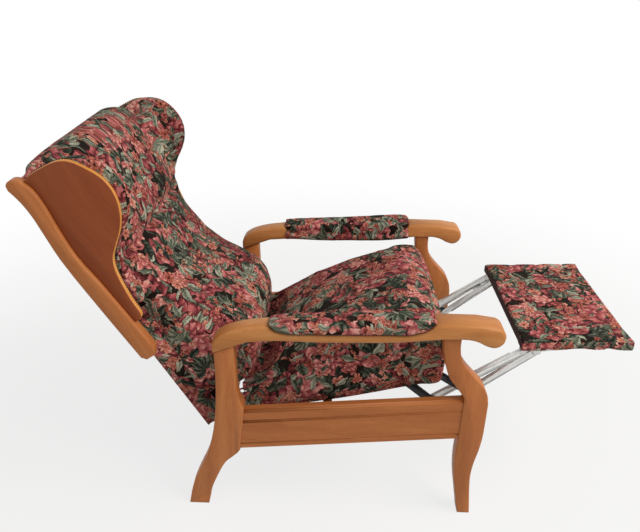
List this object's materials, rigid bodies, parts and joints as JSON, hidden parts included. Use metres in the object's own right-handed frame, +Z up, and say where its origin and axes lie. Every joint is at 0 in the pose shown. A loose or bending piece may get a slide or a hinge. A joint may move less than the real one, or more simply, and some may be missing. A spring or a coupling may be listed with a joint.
{
  "type": "reclining wing armchair",
  "caption": "Wing-back reclining armchair in floral tapestry with an exposed shaped wooden frame, laid back with its footrest out on a lazy-tong steel linkage.",
  "frame": {"origin": "on the floor, under the middle of the chair's overall box in the reclined rest pose", "axes": "+Z up, the sitter faces -Y, +X is the sitter's left; the chair is its own mirror image across X = 0"},
  "size_m": [0.683, 1.509, 0.9822],
  "materials": {
    "polished_wood": "satin lacquer",
    "dark_wood": "stained and lacquered",
    "inner_wood": "plain",
    "tapestry": "woven flowers on a near black ground, worn",
    "lining": "matte",
    "bright_steel": "zinc plated",
    "dark_steel": "black"
  },
  "bodies": {
    "base": {"front_leg_left": "polished_wood", "front_leg_right": "polished_wood", "rear_leg_left": "polished_wood", "rear_leg_right": "polished_wood", "arm_left": "polished_wood", "arm_right": "polished_wood", "arm_pad_left": "tapestry", "arm_pad_right": "tapestry", "side_rail_left": "polished_wood", "side_rail_right": "polished_wood", "rear_cross_rail": "polished_wood", "middle_cross_rail": "inner_wood", "seat_pivot_left": "dark_steel", "seat_pivot_right": "dark_steel"},
    "seat": {"seat_side_rail_left": "inner_wood", "seat_side_rail_right": "inner_wood", "seat_front_rail": "inner_wood", "seat_rear_rail": "inner_wood", "seat_cushion": "tapestry", "seat_skirt": "tapestry", "dust_cover": "lining", "seat_spring_1": "dark_steel", "seat_spring_2": "dark_steel", "seat_spring_3": "dark_steel", "seat_spring_4": "dark_steel", "mechanism_plate_left": "dark_steel", "mechanism_plate_right": "dark_steel"},
    "back": {"back_post_left": "polished_wood", "back_post_right": "polished_wood", "wing_panel_left": "dark_wood", "wing_panel_right": "dark_wood", "back_upright_left": "inner_wood", "back_upright_right": "inner_wood", "back_bottom_rail": "inner_wood", "back_middle_rail": "inner_wood", "back_top_rail": "inner_wood", "back_web_1": "lining", "back_web_2": "lining", "back_web_3": "lining", "back_web_4": "lining", "back_cushion": "tapestry", "head_cushion": "tapestry", "outside_back": "tapestry", "wing_cushion_left": "tapestry", "wing_cushion_right": "tapestry", "back_hinge_arm_left": "dark_steel", "back_hinge_arm_right": "dark_steel"},
    "link_a": {"link_a_left": "dark_steel", "link_a_right": "dark_steel"},
    "link_b": {"link_b_left": "dark_steel", "link_b_right": "dark_steel"},
    "link_c": {"link_c_left": "bright_steel", "link_c_right": "bright_steel"},
    "link_d": {"link_d_left": "bright_steel", "link_d_right": "bright_steel"},
    "footrest": {"footrest_bracket_left": "bright_steel", "footrest_bracket_right": "bright_steel", "footrest_board": "inner_wood", "footrest_pad": "tapestry"}
  },
  "joints": [
    {"name": "seat_tilt", "type": "hinge", "parent": "base", "child": "seat", "pos_m": [0, 0.15866, 0.275], "axis": [1, 0, 0], "range_deg": [0, 6.3]},
    {"name": "back_recline", "type": "hinge", "parent": "seat", "child": "back", "pos_m": [0, 0.26666, 0.288], "axis": [1, 0, 0], "range_deg": [0, 19]},
    {"name": "footrest_fold", "type": "hinge", "parent": "seat", "child": "link_a", "pos_m": [0, -0.20904, 0.4228], "axis": [1, 0, 0], "range_deg": [0, 88.4]},
    {"name": "link_b_turn", "type": "hinge", "parent": "seat", "child": "link_b", "pos_m": [0, -0.14354, 0.3913], "axis": [1, 0, 0], "range_deg": [0, 86]},
    {"name": "link_c_turn", "type": "hinge", "parent": "link_a", "child": "link_c", "pos_m": [0, -0.31964, 0.3548], "axis": [1, 0, 0], "range_deg": [-74.5, 0]},
    {"name": "link_d_turn", "type": "hinge", "parent": "link_a", "child": "link_d", "pos_m": [0, -0.35314, 0.3347], "axis": [1, 0, 0], "range_deg": [-67.7, 0]},
    {"name": "footrest_turn", "type": "hinge", "parent": "link_c", "child": "footrest", "pos_m": [0, -0.47724, 0.471], "axis": [1, 0, 0], "range_deg": [0, 81]}
  ],
  "couplings": [
    {"joint": "seat_tilt", "follows": "back_recline", "ratio": 0.3158},
    {"joint": "link_b_turn", "follows": "footrest_fold", "ratio": 0.969},
    {"joint": "link_c_turn", "follows": "footrest_fold", "ratio": -0.838},
    {"joint": "link_d_turn", "follows": "footrest_fold", "ratio": -0.761},
    {"joint": "footrest_turn", "follows": "footrest_fold", "ratio": 0.9126}
  ]
}
